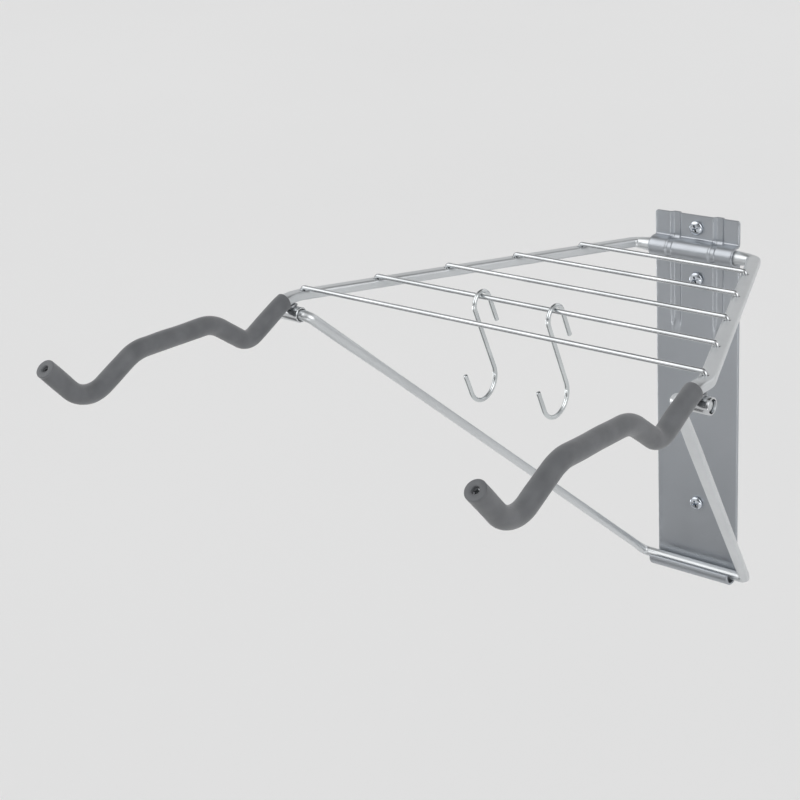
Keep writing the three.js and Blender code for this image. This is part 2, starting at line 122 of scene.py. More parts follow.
# How far in front of the flat sheet a bead starts and ends its change into a band on the barrel.
BAND_FROM, BAND_TO = 3 * MM, 7 * MM
EDGE_ROUND = 0.35 * MM
# Where the mesh has columns: steps over a bead's half width, steps counted out past it, flat places.
BEAD_STEPS = 10
BEAD_STEPS_OUT = 12
FLAT_COLUMNS = [4 * MM, 8 * MM, 11.5 * MM, 31 * MM, 36 * MM, 39 * MM]
EDGE_CLEARANCE = 0.2 * MM

# Wall screws.
SCREWS = ["wall_screw_top", "wall_screw_middle", "wall_screw_bottom"]
SCREW_HOLE_RADIUS = 3.3 * MM
SCREW_HOLE_REACH = 10 * MM
SHANK_RADIUS = 2.6 * MM
THREAD_PITCH = 2.2 * MM
THREAD_DEPTH = 0.5 * MM
THREAD_STEPS = 24
# The thread fades in over one part in this many of its length, and out again.
THREAD_FADE = 15
THREAD_SINK = 0.1 * MM
THREAD_LEAST_CREST = 0.12 * MM
THREAD_FOOT_SHARE = 0.3
THREAD_CREST_SHARE = 0.2
PLAIN_SHANK = 5 * MM
HEAD_HEIGHT = 3.6 * MM
HEAD_DOME_SHARE = 0.5
HEAD_DOME_DEGREES = range(6, 91, 7)
HEAD_EDGE_HEIGHT = 0.4 * MM
HEAD_EDGE_INSET = 0.3 * MM
SCREW_POINT = 7 * MM
SCREW_TIP_RADIUS = 0.15 * MM
RECESS_SPAN = 6.8 * MM
RECESS_WIDTH = 1.5 * MM
RECESS_TILT = math.radians(20)
# Ends of the recess cutter: depth into the head, and shares of its span and of its width.
RECESS_ENDS = [(-1 * MM, 1.15, 1.15), (3 * MM, 0.55, 0.7)]

# Swinging frame: tilt of its V, and its lines as x, reach, height and bend radius, in millimetres.
FRAME_TILT = math.radians(4.4)
ARM_FOOT_X = 58
CRADLE_X = 185
ARM_REACH = 303
ARM_CORNERS = [(ARM_FOOT_X, 0, 0, 8), (CRADLE_X, ARM_REACH, 0, 28)]
CRADLE_CORNERS = [
    (CRADLE_X, 319, 0, 35),
    (CRADLE_X, 363.5, -24.6, 16),
    (CRADLE_X, 400.7, 0, 35),
    (CRADLE_X, 479.4, -1, 36),
    (CRADLE_X, 528.2, -28.3, 26),
    (CRADLE_X, 562.5, 7, 0),
]
TUBE_RADIUS = 5.75 * MM
HINGE_TUBE_RADIUS = 6.35 * MM
TUBE_SIDES = 40
# Where, going outwards in x, the hinge tube's greater radius ends and the arms' begins.
HINGE_TUBE_END, ARM_TUBE_START = 38 * MM, 44 * MM
ARM_FLAT = (11.6 * MM, 7.8 * MM)
# Lengths in millimetres over which the tube turns flat after the hinge, and round again at the grip.
FLATTENS_OVER = 10
ROUNDS_OVER = 22
TUBE_BORE_SHARE = 0.62
TUBE_BORE_DEPTH = 14 * MM

# Grips. The reach where they start is in millimetres, as above.
GRIP_START_REACH = 320
GRIP_SIDES = 44
GRIP_STEP = 2 * MM
GRIP_WALL = 1.25 * MM
GRIP_END_WALL = 2.4 * MM
GRIP_END_HOLE = 2.7 * MM
GRIP_LIP = 0.9 * MM
GRIP_LIP_DEGREES = (90, 70, 50, 30, 10)
GRIP_UNEVEN = 0.35 * MM
GRIP_UNEVEN_SCALE = 55
# Crimped tube end: its star-shaped opening has a middle radius and a wave, in millimetres.
CRIMP_THICKNESS = 1 * MM
CRIMP_CLEARANCE = 0.15 * MM
CRIMP_STEPS = 40
CRIMP_POINTS = 5
CRIMP_RADIUS = 1.6
CRIMP_WAVE = 0.35

# Shelf wires, sleeves, welds, strut and hooks. Lengths without MM are in millimetres.
WIRE_RADIUS = 2 * MM
WIRE_SIDES = 24
WIRE_DOME = 0.4 * MM
WIRE_HEIGHT = 6.3
WIRE_TIP_HEIGHT = 0.6
WIRE_BEND = 2.4
WIRE_COUNT = 5
WIRE_FIRST_REACH = 56
WIRE_PITCH = 61.2
WIRE_INSET = 1.5
WIRE_HOLE_RADIUS = 2.5 * MM
WIRE_HOLE_SPAN = (0.5 * MM, 9 * MM)
SLEEVE_X = (174.5 * MM, 195 * MM)
SLEEVE_RADIUS = 6.3 * MM
SLEEVE_BORE = 5.1 * MM
SLEEVE_EDGE = 0.45 * MM
SLEEVE_EDGE_SHARE = 0.3
WELD_LIFT = 0.2 * MM
WELD_SPREAD = 3.9 * MM
WELD_BEAD = 1.15 * MM
WELD_UNEVEN = 0.22
WELD_UNEVEN_SCALE = 900
WELD_STEPS = 40
WELD_SIDES = 12
STRUT_RADIUS = 4.4 * MM
STRUT_SIDES = 36
STRUT_FLAT = (9.8 * MM, 6.2 * MM)
STRUT_END_X = 194
STRUT_TOP_X = 166.5
STRUT_FOOT_X = 53
STRUT_BEND = 7
STRUT_FOOT = Vector((0, -7.3, -169.9)) * MM
# The legs turn flat between these shares of their length, and round again at these gaps to its end.
STRUT_PRESSED = (0.07, 0.25)
STRUT_ROUNDED = (14 * MM, 1.75 * MM)
STRUT_DOME = 1.6 * MM
STRUT_DOME_STEPS = 7
HOOK_RADIUS = 1.8 * MM
HOOK_SIDES = 24
HOOK_DOME = 0.6 * MM
HOOK_TOP_LOOP = 9.85
HOOK_BOTTOM_LOOP = 16.5
HOOK_SHANK = 57
HOOK_TOP_TAIL = 25
HOOK_BOTTOM_TAIL = 18.6
HOOK_LEAN = math.radians(21.2)
CONTACT_GAP = 0.3 * MM

# Fineness of swept pieces, and what counts as straight or as the same point.
BEND_STEP = math.radians(4)
RUN_STEP = 6 * MM
STRAIGHT_ANGLE = BEND_STEP / 10
SAME_POINT = 0.01 * MM
# Section of a rod that is pressed quite flat: 1 would be an ellipse, and near 0 is square.
SHOULDER = 0.5
DOME_ANGLE = math.radians(84)
SMOOTH_ANGLE = math.radians(50)


def srgb(red, green, blue):
    """A linear colour from 0 to 255 display values."""
    def linear(value):
        value /= 255
        return value / 12.92 if value <= 0.04045 else ((value + 0.055) / 1.055) ** 2.4
    return (linear(red), linear(green), linear(blue), 1.0)


def smoothstep(start, end, value):
    """0 up to start, 1 from end on, and a smooth change between them."""
    share = min(1, max(0, (value - start) / (end - start)))
    return share * share * (3 - 2 * share)


# Materials -------------------------------------------------------------------------------------

class Nodes:
    """Builds one material's node tree around its Principled shader."""

    def __init__(self, name):
        self.material = bpy.data.materials.new(name)
        self.material.use_nodes = True
        self.tree = self.material.node_tree
        self.shader = self.tree.nodes["Principled BSDF"]
        self.place = self.add("ShaderNodeTexCoord").outputs["Object"]

    def add(self, kind, **inputs):
        """A new node with some of its inputs set by name."""
        node = self.tree.nodes.new(kind)
        for name, value in inputs.items():
            node.inputs[name].default_value = value
        return node

    def link(self, source, target):
        self.tree.links.new(source, target)

    def noise(self, scale, detail=4.0, stretch=(1, 1, 1)):
        """Noise over the object, from 0 to 1."""
        mapping = self.add("ShaderNodeMapping")
        mapping.inputs["Scale"].default_value = stretch
        self.link(self.place, mapping.inputs["Vector"])
        texture = self.add("ShaderNodeTexNoise", Scale=scale, Detail=detail)
        self.link(mapping.outputs["Vector"], texture.inputs["Vector"])
        return texture.outputs["Fac"]

    def ramp(self, source, low, high, start=0.3, end=0.7):
        """Maps a 0 to 1 source onto colours, or onto grey values."""
        ramp = self.add("ShaderNodeValToRGB")
        for element, place, value in zip(ramp.color_ramp.elements, (start, end), (low, high)):
            element.position = place
            element.color = value if hasattr(value, "__len__") else (value, value, value, 1)
        self.link(source, ramp.inputs["Fac"])
        return ramp.outputs["Color"]

    def bump(self, height, strength, distance):
        """Adds a bump on top of any that is there already."""
        bump = self.add("ShaderNodeBump", Strength=strength, Distance=distance)
        self.link(height, bump.inputs["Height"])
        normal = self.shader.inputs["Normal"]
        if normal.is_linked:
            self.link(normal.links[0].from_socket, bump.inputs["Normal"])
        self.link(bump.outputs["Normal"], normal)

    def colour(self, source):
        self.link(source, self.shader.inputs["Base Color"])

    def roughness(self, source):
        self.link(source, self.shader.inputs["Roughness"])


def metallic_paint(name, dark, light, metallic, dullest, glossiest):
    """Satin metallic paint over steel: a fine orange peel and a slight cloudiness."""
    nodes = Nodes(name)
    nodes.colour(nodes.ramp(nodes.noise(scale=12), dark, light))
    nodes.roughness(nodes.ramp(nodes.noise(scale=45), glossiest, dullest))
    nodes.bump(nodes.noise(scale=1600, detail=2), strength=0.04, distance=0.1 * MM)
    nodes.bump(nodes.noise(scale=50, detail=2), strength=0.03, distance=0.6 * MM)
    nodes.shader.inputs["Metallic"].default_value = metallic
    return nodes.material


def bright_zinc(name, stretch, dark, light, rough=(0.1, 0.24)):
    """Plated steel: bright, with faint drawing lines along it and small dull patches."""
    nodes = Nodes(name)
    nodes.colour(nodes.ramp(nodes.noise(scale=30), dark, light))
    nodes.roughness(nodes.ramp(nodes.noise(scale=90, detail=5, stretch=stretch), *rough))
    nodes.bump(nodes.noise(scale=600, detail=2, stretch=stretch), strength=0.08, distance=0.1 * MM)
    nodes.shader.inputs["Metallic"].default_value = 1.0
    return nodes.material


def foam(name):
    """Closed-cell foam with a soft sheen, a fine grain and a few larger pits."""
    nodes = Nodes(name)
    clouds = nodes.noise(scale=70, detail=6)
    nodes.colour(nodes.ramp(clouds, low=srgb(87, 89, 92), high=srgb(101, 103, 106)))
    nodes.roughness(nodes.ramp(nodes.noise(scale=120), low=0.46, high=0.58))
    nodes.bump(nodes.noise(scale=2200, detail=3), strength=0.25, distance=0.25 * MM)
    nodes.bump(nodes.noise(scale=350, detail=3), strength=0.12, distance=0.4 * MM)
    nodes.shader.inputs["Sheen Weight"].default_value = 0.22
    return nodes.material


PLATE_PAINT = metallic_paint(
    "plate_paint",
    dark=srgb(169, 173, 178),
    light=srgb(176, 180, 185),
    metallic=0.85,
    dullest=0.39,
    glossiest=0.29,
)
FRAME_PAINT = metallic_paint(
    "frame_paint",
    dark=srgb(205, 208, 210),
    light=srgb(213, 216, 218),
    metallic=0.8,
    dullest=0.39,
    glossiest=0.29,
)
CROSS_WIRE = bright_zinc(
    "cross_wire_zinc",
    stretch=(0.05, 1, 1),
    dark=srgb(182, 185, 187),
    light=srgb(208, 210, 212),
    rough=(0.18, 0.26),
)
HOOK_WIRE = bright_zinc(
    "hook_wire_zinc",
    stretch=(1, 1, 0.1),
    dark=srgb(196, 200, 202),
    light=srgb(222, 226, 227),
)
SCREW_ZINC = bright_zinc(
    "screw_zinc",
    stretch=(1, 1, 1),
    dark=srgb(186, 192, 200),
    light=srgb(214, 219, 225),
)
SLEEVE_ZINC = bright_zinc(
    "sleeve_zinc",
    stretch=(0.2, 1, 1),
    dark=srgb(190, 192, 194),
    light=srgb(216, 218, 220),
    rough=(0.08, 0.18),
)
WELD_STEEL = bright_zinc(
    "weld_steel",
    stretch=(1, 1, 1),
    dark=srgb(130, 132, 135),
    light=srgb(175, 177, 180),
    rough=(0.3, 0.45),
)
FOAM = foam("grip_foam")


# Mesh tools ------------------------------------------------------------------------------------

def add_piece(name, mesh, body, material, stands_for=()):
    """Puts a finished mesh in the scene as a piece that rides on a body."""
    obj = bpy.data.objects.new(name, mesh)
    bpy.context.collection.objects.link(obj)
    mesh.materials.clear()
    mesh.materials.append(material)
    for polygon in mesh.polygons:
        polygon.use_smooth = True
    mesh.set_sharp_from_angle(angle=SMOOTH_ANGLE)
    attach(obj, body)
    if stands_for:
        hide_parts(*stands_for)
    return obj


def mesh_of_rings(name, rings, closed=False):
    """A mesh skinned over rings of equal length; closed joins the last ring to the first."""
    work = bmesh.new()
    loops = [[work.verts.new(point) for point in ring] for ring in rings]
    count = len(loops[0])
    for i in range(len(loops) if closed else len(loops) - 1):
        here, after = loops[i], loops[(i + 1) % len(loops)]
        for j in range(count):
            k = (j + 1) % count
            work.faces.new((here[j], here[k], after[k], after[j]))
    if not closed:
        work.faces.new(list(reversed(loops[0])))
        work.faces.new(loops[-1])
    bmesh.ops.recalc_face_normals(work, faces=work.faces)
    mesh = bpy.data.meshes.new(name)
    work.to_mesh(mesh)
    work.free()
    return mesh


def cut_away(mesh, cutters):
    """The mesh with the cutters' meshes cut out of it."""
    target = bpy.data.objects.new("cut_target", mesh)
    bpy.context.collection.objects.link(target)
    tools = []
    for cutter in cutters:
        tool = bpy.data.objects.new("cutter", cutter)
        bpy.context.collection.objects.link(tool)
        modifier = target.modifiers.new("cut", "BOOLEAN")
        modifier.object = tool
        modifier.operation = "DIFFERENCE"
        modifier.solver = "EXACT"
        tools.append(tool)
    graph = bpy.context.evaluated_depsgraph_get()
    result = bpy.data.meshes.new_from_object(target.evaluated_get(graph))
    for obj in [target, *tools]:
        bpy.data.objects.remove(obj)
    result.name = mesh.name
    return result


def circle(centre, side, up, radius, count):
    """A ring of points round a centre, in the plane of two unit vectors."""
    angles = [2 * math.pi * i / count for i in range(count)]
    return [centre + (side * math.cos(a) + up * math.sin(a)) * radius for a in angles]


def turned(name, profile, origin, axis, count=48, closed=False):
    """A solid turned about an axis, from distance along it and radius pairs."""
    side = axis.orthogonal().normalized()
    up = axis.cross(side)
    rings = [circle(origin + axis * along, side, up, radius, count) for along, radius in profile]
    return mesh_of_rings(name, rings, closed)


class BentLine:
    """A centre line through corners, each an (x, y, z, bend radius), with its bends rounded. It has
    points, headings and distances along it."""

    def __init__(self, corners):
        places = [Vector(corner[:3]) for corner in corners]
        points = [places[0]]
        for before, corner, after, (_, _, _, radius) in zip(places, places[1:], places[2:], corners[1:]):
            points += self.bend(before, corner, after, radius)
        points.append(places[-1])
        self.points = self.with_run_steps(points)
        self.lengths = [0.0]
        for a, b in zip(self.points, self.points[1:]):
            self.lengths.append(self.lengths[-1] + (b - a).length)

    @property
    def length(self):
        return self.lengths[-1]

    @staticmethod
    def bend(before, corner, after, radius):
        into = (corner - before).normalized()
        out = (after - corner).normalized()
        turn = into.angle(out)
        if radius == 0 or turn < STRAIGHT_ANGLE:
            return [corner]
        inward = (out - into * math.cos(turn)).normalized()
        start = corner - into * radius * math.tan(turn / 2)
        steps = max(2, round(turn / BEND_STEP))
        angles = [turn * i / steps for i in range(steps + 1)]
        return [
            start + inward * radius * (1 - math.cos(a)) + into * radius * math.sin(a)
            for a in angles
        ]

    @staticmethod
    def with_run_steps(points):
        """Adds points along the straight runs and drops doubled ones."""
        result = [points[0]]
        for point in points[1:]:
            last = result[-1]
            gap = (point - last).length
            if gap < SAME_POINT:
                continue
            count = max(1, math.ceil(gap / RUN_STEP))
            result += [last.lerp(point, i / count) for i in range(1, count + 1)]
        return result

    def heading(self, index):
        last = len(self.points) - 1
        return (self.points[min(last, index + 1)] - self.points[max(0, index - 1)]).normalized()

    def at(self, length):
        """The point and the heading at a distance along the line."""
        last = len(self.points) - 2
        index = next((i for i, value in enumerate(self.lengths[1:]) if value >= length), last)
        share = (length - self.lengths[index]) / (self.lengths[index + 1] - self.lengths[index])
        heading = self.heading(index).lerp(self.heading(index + 1), min(1, max(0, share)))
        return self.points[index].lerp(self.points[index + 1], share), heading.normalized()

    def length_where(self, measure, value):
        """The distance at which a measure of the point first reaches a value."""
        measures = [measure(point) for point in self.points]
        index = next(i for i, found in enumerate(measures) if found >= value)
        share = (value - measures[index - 1]) / (measures[index] - measures[index - 1])
        return self.lengths[index - 1] + share * (self.lengths[index] - self.lengths[index - 1])


def section_ring(point, heading, up, width, height, shoulder, count):
    """A ring round a line: an ellipse where shoulder is 1, and squarer as it nears 0."""
    side = heading.cross(up).normalized()
    lift = side.cross(heading)
    ring = []
    for i in range(count):
        angle = 2 * math.pi * i / count
        across = math.copysign(abs(math.cos(angle)) ** shoulder, math.cos(angle)) * width / 2
        above = math.copysign(abs(math.sin(angle)) ** shoulder, math.sin(angle)) * height / 2
        ring.append(point + side * across + lift * above)
    return ring


def swept_rings(line, up, radius, count, pressed=None, flat=None):
    """Rings along a line. pressed gives, at a point, the share by which the rod is pressed flat."""
    rings = []
    for index, point in enumerate(line.points):
        share = pressed(point) if pressed else 0
        width = height = 2 * radius
        if share:
            width += (flat[0] - width) * share
            height += (flat[1] - height) * share
        shoulder = 1 + (SHOULDER - 1) * share
        rings.append(section_ring(point, line.heading(index), up, width, height, shoulder, count))
    return rings


def domed_ends(rings, depth, steps=5):
    """Rounds both ends of a stack of rings over a depth, without making it longer."""
    def dome(ring, inner):
        centre = sum(ring, Vector()) / len(ring)
        outward = (centre - sum(inner, Vector()) / len(inner)).normalized()
        base = [point - outward * depth for point in ring]
        base_centre = centre - outward * depth
        domed = []
        for i in range(steps + 1):
            angle = DOME_ANGLE * i / steps
            lift = outward * depth * math.sin(angle)
            domed.append([base_centre + (p - base_centre) * math.cos(angle) + lift for p in base])
        return domed
    first = dome(rings[0], rings[1])
    last = dome(rings[-1], rings[-2])
    return list(reversed(first)) + rings[1:-1] + last


def mirrored(corners):
    """The same corners on the other side of x = 0."""
    return [(-x, *rest) for x, *rest in corners]


# Wall plate ------------------------------------------------------------------------------------

def plate_middle_line():
    """The folded sheet's middle line in side view, as (point, front normal) pairs from the top down."""
    hinge = JOINT_PLACE["frame_hinge"]
    _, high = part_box("wall_plate")
    middle = -SHEET / 2
    radius = BARREL_MIDDLE_RADIUS
    gutter_y = middle - GUTTER_MIDDLE_RADIUS
    corners = [
        (0, middle, high.z, 0),
        (0, middle, hinge.z + radius, BARREL_FILLET),
        (0, hinge.y, hinge.z + radius, 0),
    ]
    corners += arc_corners(hinge.y, hinge.z, radius, 90, 270)
    corners += [
        (0, hinge.y, hinge.z - radius, 0),
        (0, middle, hinge.z - radius, BARREL_FILLET),
        (0, middle, GUTTER_CENTRE_Z, 0),
    ]
    corners += arc_corners(gutter_y, GUTTER_CENTRE_Z, GUTTER_MIDDLE_RADIUS, 0, -180)
    corners.append((0, gutter_y - GUTTER_MIDDLE_RADIUS, GUTTER_CENTRE_Z + LIP_RISE, 0))
    line = BentLine(corners)
    across = Vector((1, 0, 0))
    return [(point, across.cross(line.heading(i))) for i, point in enumerate(line.points)]


def arc_corners(centre_y, centre_z, radius, start, end, step=6):
    """Points along an arc in side view, as corners with no bend of their own."""
    count = round(abs(end - start) / step)
    angles = [math.radians(start + (end - start) * i / count) for i in range(1, count)]
    return [(0, centre_y + radius * math.cos(a), centre_z + radius * math.sin(a), 0) for a in angles]


def bead_height(x, point):
    """How far the stamped ridges stand out of the sheet at a place on it."""
    if point.z < BEAD_END_Z - BEAD_HALF_WIDTH:
        return 0
    on_barrel = smoothstep(BAND_FROM, BAND_TO, -SHEET / 2 - point.y)
    half = BEAD_HALF_WIDTH + (BAND_HALF_WIDTH - BEAD_HALF_WIDTH) * on_barrel
    height = BEAD_HEIGHT + (BAND_HEIGHT - BEAD_HEIGHT) * on_barrel
    below = max(0, BEAD_END_Z + BEAD_HALF_WIDTH - point.z)
    away = math.hypot(abs(x) - BEAD_X, below) / half
    return height * (1 - smoothstep(BEAD_CROWN, 1, away))


def sheet_columns():
    """Places across the whole sheet, closer together over the beads."""
    steps = range(-BEAD_STEPS_OUT, BEAD_STEPS_OUT + 1)
    bead = [BEAD_X + BEAD_HALF_WIDTH * (i / BEAD_STEPS) for i in steps]
    right = sorted(FLAT_COLUMNS + bead)
    return [-x for x in reversed(right)] + [0] + right


def sheet_ring(point, front, narrowed, thinned):
    """One ring round the sheet's section: along its front, round an edge, back along its rear."""
    low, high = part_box("wall_plate")
    half = (high.x - low.x) / 2
    inner = half - EDGE_ROUND
    half -= narrowed
    inner -= narrowed
    thick = SHEET / 2 - thinned
    shoulder = max(thick - EDGE_ROUND, thick / 2)

    def at(x, out):
        return Vector((x, 0, 0)) + point + front * out

    limit = inner - EDGE_CLEARANCE
    kept = [min(limit, max(-limit, x)) for x in sheet_columns()]
    ring = [at(-inner, thick)]
    ring += [at(x, thick + bead_height(x, point)) for x in kept]
    ring += [at(inner, thick), at(half, shoulder), at(half, -shoulder), at(inner, -thick)]
    ring += [at(x, -thick + bead_height(x, point)) for x in reversed(kept)]
    ring += [at(-inner, -thick), at(-half, -shoulder), at(-half, shoulder)]
    return ring


def add_wall_plate():
    """The stamped sheet with its barrel, gutter, ridges and screw holes."""
    line = plate_middle_line()
    top_point, top_front = line[0]
    rings = [sheet_ring(top_point, top_front, PLATE_CORNER, EDGE_ROUND)]
    for share in CORNER_SHARES:
        depth = PLATE_CORNER * share
        narrowed = PLATE_CORNER - math.sqrt(PLATE_CORNER ** 2 - (PLATE_CORNER - depth) ** 2)
        rings.append(sheet_ring(top_point - Vector((0, 0, depth)), top_front, narrowed, 0))
    rings += [sheet_ring(point, front, 0, 0) for point, front in line[1:-1]]
    end_point, end_front = line[-1]
    rings.append(sheet_ring(end_point - Vector((0, 0, EDGE_ROUND)), end_front, 0, 0))
    rings.append(sheet_ring(end_point, end_front, 0, EDGE_ROUND))
    mesh = mesh_of_rings("stamped_plate", rings)
    holes = []
    for node in SCREWS:
        low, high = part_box(node)
        centre = Vector((0, 0, (low.z + high.z) / 2))
        profile = [(-SCREW_HOLE_REACH, SCREW_HOLE_RADIUS), (SCREW_HOLE_REACH, SCREW_HOLE_RADIUS)]
        holes.append(turned("screw_hole", profile, centre, Vector((0, 1, 0))))
    add_piece("stamped_plate", cut_away(mesh, holes), "plate", PLATE_PAINT, ["wall_plate"])


# Screws ----------------------------------------------------------------------------------------

def recess_cutter(centre, across):
    """One blade of the cross recess, narrower at its bottom."""
    depth = Vector((0, 1, 0))
    other = across.cross(depth)
    rings = []
    for inwards, span, width in RECESS_ENDS:
        half_span = across * RECESS_SPAN / 2 * span
        half_width = other * RECESS_WIDTH / 2 * width
        place = centre + depth * inwards
        rings.append([
            place + half_span + half_width,
            place - half_span + half_width,
            place - half_span - half_width,
            place + half_span - half_width,
        ])
    return mesh_of_rings("recess", rings)


def add_screw(node):
    """A pan-head screw: a domed head with a cross recess, a shank with a point, and a thread."""
    low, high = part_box(node)
    z = (low.z + high.z) / 2
    radius = (high.z - low.z) / 2
    face = Vector((0, low.y, z))
    axis = Vector((0, 1, 0))
    length = high.y - low.y
    rim = HEAD_HEIGHT * HEAD_DOME_SHARE
    dome = [math.radians(angle) for angle in HEAD_DOME_DEGREES]
    profile = [(rim * (1 - math.cos(a)), radius * math.sin(a)) for a in dome]
    profile += [
        (HEAD_HEIGHT - HEAD_EDGE_HEIGHT, radius),
        (HEAD_HEIGHT, radius - HEAD_EDGE_INSET),
        (HEAD_HEIGHT, SHANK_RADIUS),
        (length - SCREW_POINT, SHANK_RADIUS),
        (length, SCREW_TIP_RADIUS),
    ]
    body = turned(node, profile, face, axis)
    turns = (RECESS_TILT, RECESS_TILT + math.pi / 2)
    blades = [Vector((math.cos(a), 0, math.sin(a))) for a in turns]
    mesh = cut_away(body, [recess_cutter(face, blade) for blade in blades])
    name = node.replace("wall_screw", "pan_head_screw")
    add_piece(name, mesh, "plate", SCREW_ZINC, [node])
    add_thread(name, z, low.y + HEAD_HEIGHT + PLAIN_SHANK, high.y - SCREW_POINT)


def add_thread(name, z, start, end):
    """One ridge wound round a shank, fading out at both ends."""
    turns = (end - start) / THREAD_PITCH
    steps = int(turns * THREAD_STEPS)
    rings = []
    for i in range(steps + 1):
        share = i / steps
        angle = 2 * math.pi * turns * share
        fade = min(1, share * THREAD_FADE, (1 - share) * THREAD_FADE)
        out = Vector((math.cos(angle), 0, math.sin(angle)))
        along = start + (end - start) * share
        root = Vector((0, along, z)) + out * (SHANK_RADIUS - THREAD_SINK)
        foot = Vector((0, THREAD_PITCH * THREAD_FOOT_SHARE, 0))
        crest = root + out * (THREAD_LEAST_CREST + THREAD_DEPTH * fade)
        top = foot * THREAD_CREST_SHARE
        rings.append([root - foot, crest - top, crest + top, root + foot])
    mesh = mesh_of_rings(f"{name}_thread", rings)
    add_piece(f"{name}_thread", mesh, "plate", SCREW_ZINC)


# Swinging frame --------------------------------------------------------------------------------

FRAME_OUT = Vector((0, -math.cos(FRAME_TILT), math.sin(FRAME_TILT)))
FRAME_UP = Vector((0, math.sin(FRAME_TILT), math.cos(FRAME_TILT)))


def frame_place(x, reach, height):
    """A point given in millimetres in the swinging frame's own side view, at rest."""
    hinge = JOINT_PLACE["frame_hinge"]
    return hinge + Vector((x, 0, 0)) * MM + (FRAME_OUT * reach + FRAME_UP * height) * MM


def frame_corners(corners):
    """Corners of the swinging frame in metres."""
    return [(*frame_place(x, reach, height), radius * MM) for x, reach, height, radius in corners]


def frame_reach(point):
    """A point's reach out from the hinge line, in millimetres."""
    return (point - JOINT_PLACE["frame_hinge"]).dot(FRAME_OUT) / MM


def arm_x(reach):
    """How far an arm's middle is from x = 0 at a reach, in millimetres."""
    return ARM_FOOT_X + (CRADLE_X - ARM_FOOT_X) * reach / ARM_REACH


def wire_place(index):
    """A shelf wire's reach and half length, in millimetres."""
    reach = WIRE_FIRST_REACH + WIRE_PITCH * index
    return reach, arm_x(reach) - WIRE_INSET


def arm_pressed(point):
    """How flat the tube is: round in the hinge and in the cradles, flat along the V."""
    reach = frame_reach(point)
    begun = smoothstep((ARM_FOOT_X - FLATTENS_OVER) * MM, ARM_FOOT_X * MM, abs(point.x))
    return begun * (1 - smoothstep(GRIP_START_REACH, GRIP_START_REACH + ROUNDS_OVER, reach))


def bored_ends(rings, line):
    """Opens both ends of a swept tube by a bore that runs some way in."""
    def bore(inner_rings):
        centres = [sum(ring, Vector()) / len(ring) for ring in inner_rings]
        return [
            [centre + (point - centre) * TUBE_BORE_SHARE for point in ring]
            for ring, centre in zip(inner_rings, centres)
        ]
    count = sum(1 for length in line.lengths if length < TUBE_BORE_DEPTH)
    start = bore(rings[:count])
    end = bore(rings[-count:])
    return list(reversed(start)) + rings + list(reversed(end))


def add_bent_tube():
    """The one bent tube that is hinge, V and both cradles, with holes for the shelf wires."""
    right = ARM_CORNERS + CRADLE_CORNERS
    tip = Vector(right[-1][:3])
    before = Vector(right[-2][:3])
    setback = (tip - before).normalized() * (GRIP_END_WALL + CONTACT_GAP) / MM
    right = right[:-1] + [(*(tip - setback), 0)]
    line = BentLine(frame_corners(list(reversed(mirrored(right))) + right))
    rings = swept_rings(line, FRAME_UP, TUBE_RADIUS, TUBE_SIDES, arm_pressed, ARM_FLAT)
    for ring, point in zip(rings, line.points):
        share = smoothstep(ARM_TUBE_START, HINGE_TUBE_END, abs(point.x))
        grow = 1 + (HINGE_TUBE_RADIUS / TUBE_RADIUS - 1) * share
        ring[:] = [point + (vertex - point) * grow for vertex in ring]
    mesh = mesh_of_rings("bent_tube", bored_ends(rings, line))
    holes = []
    for index in range(WIRE_COUNT):
        reach, half = wire_place(index)
        for x in (-half, half):
            profile = [(along, WIRE_HOLE_RADIUS) for along in WIRE_HOLE_SPAN]
            place = frame_place(x, reach, 0)
            holes.append(turned("wire_hole", profile, place, FRAME_UP, WIRE_SIDES))
    mesh = cut_away(mesh, holes)
    stands_for = ["hinge_tube", "left_arm", "right_arm"]
    add_piece("bent_tube", mesh, "frame", FRAME_PAINT, stands_for)


def add_shelf_wire(index):
    """One wire across the shelf, bent down at both ends into the arms."""
    reach, half = wire_place(index)
    corners = [(half, reach, WIRE_HEIGHT, WIRE_BEND), (half, reach, WIRE_TIP_HEIGHT, 0)]
    line = BentLine(frame_corners(list(reversed(mirrored(corners))) + corners))
    rings = domed_ends(swept_rings(line, FRAME_OUT, WIRE_RADIUS, WIRE_SIDES), WIRE_DOME)
    mesh = mesh_of_rings(f"cross_wire_{index + 1}", rings)
    add_piece(mesh.name, mesh, "frame", CROSS_WIRE, [f"shelf_wire_{index + 1}"])


def grip_profile(start, end, outer):
    """Distance and radius pairs round the sleeve's wall: out along its outside, in at the end hole,
    and back along its bore."""
    inner = outer - GRIP_WALL
    lip = GRIP_LIP
    rounded = [math.radians(angle) for angle in GRIP_LIP_DEGREES]
    rims = [(lip * (1 - math.cos(a)), outer - lip * (1 - math.sin(a))) for a in rounded]
    profile = [(start, inner + GRIP_WALL / 3)]
    profile += [(start + inset, radius) for inset, radius in reversed(rims)]
    count = int((end - start - 2 * lip) / GRIP_STEP)
    for i in range(1, count):
        profile.append((start + lip + (end - start - 2 * lip) * i / count, outer))
    profile += [(end - inset, radius) for inset, radius in rims]
    profile += [(end, (outer + GRIP_END_HOLE) / 2), (end, GRIP_END_HOLE + lip / 2)]
    profile += [(end - lip / 2, GRIP_END_HOLE), (end - GRIP_END_WALL, GRIP_END_HOLE)]
    profile.append((end - GRIP_END_WALL, inner))
    for i in range(1, count):
        profile.append((end - GRIP_END_WALL - (end - GRIP_END_WALL - start) * i / count, inner))
    return profile


def line_circle(line, length, radius, count):
    """A round ring about a line of the swinging frame, at a distance along it."""
    point, heading = line.at(length)
    side = heading.cross(FRAME_UP).normalized()
    return circle(point, side, side.cross(heading), radius, count)


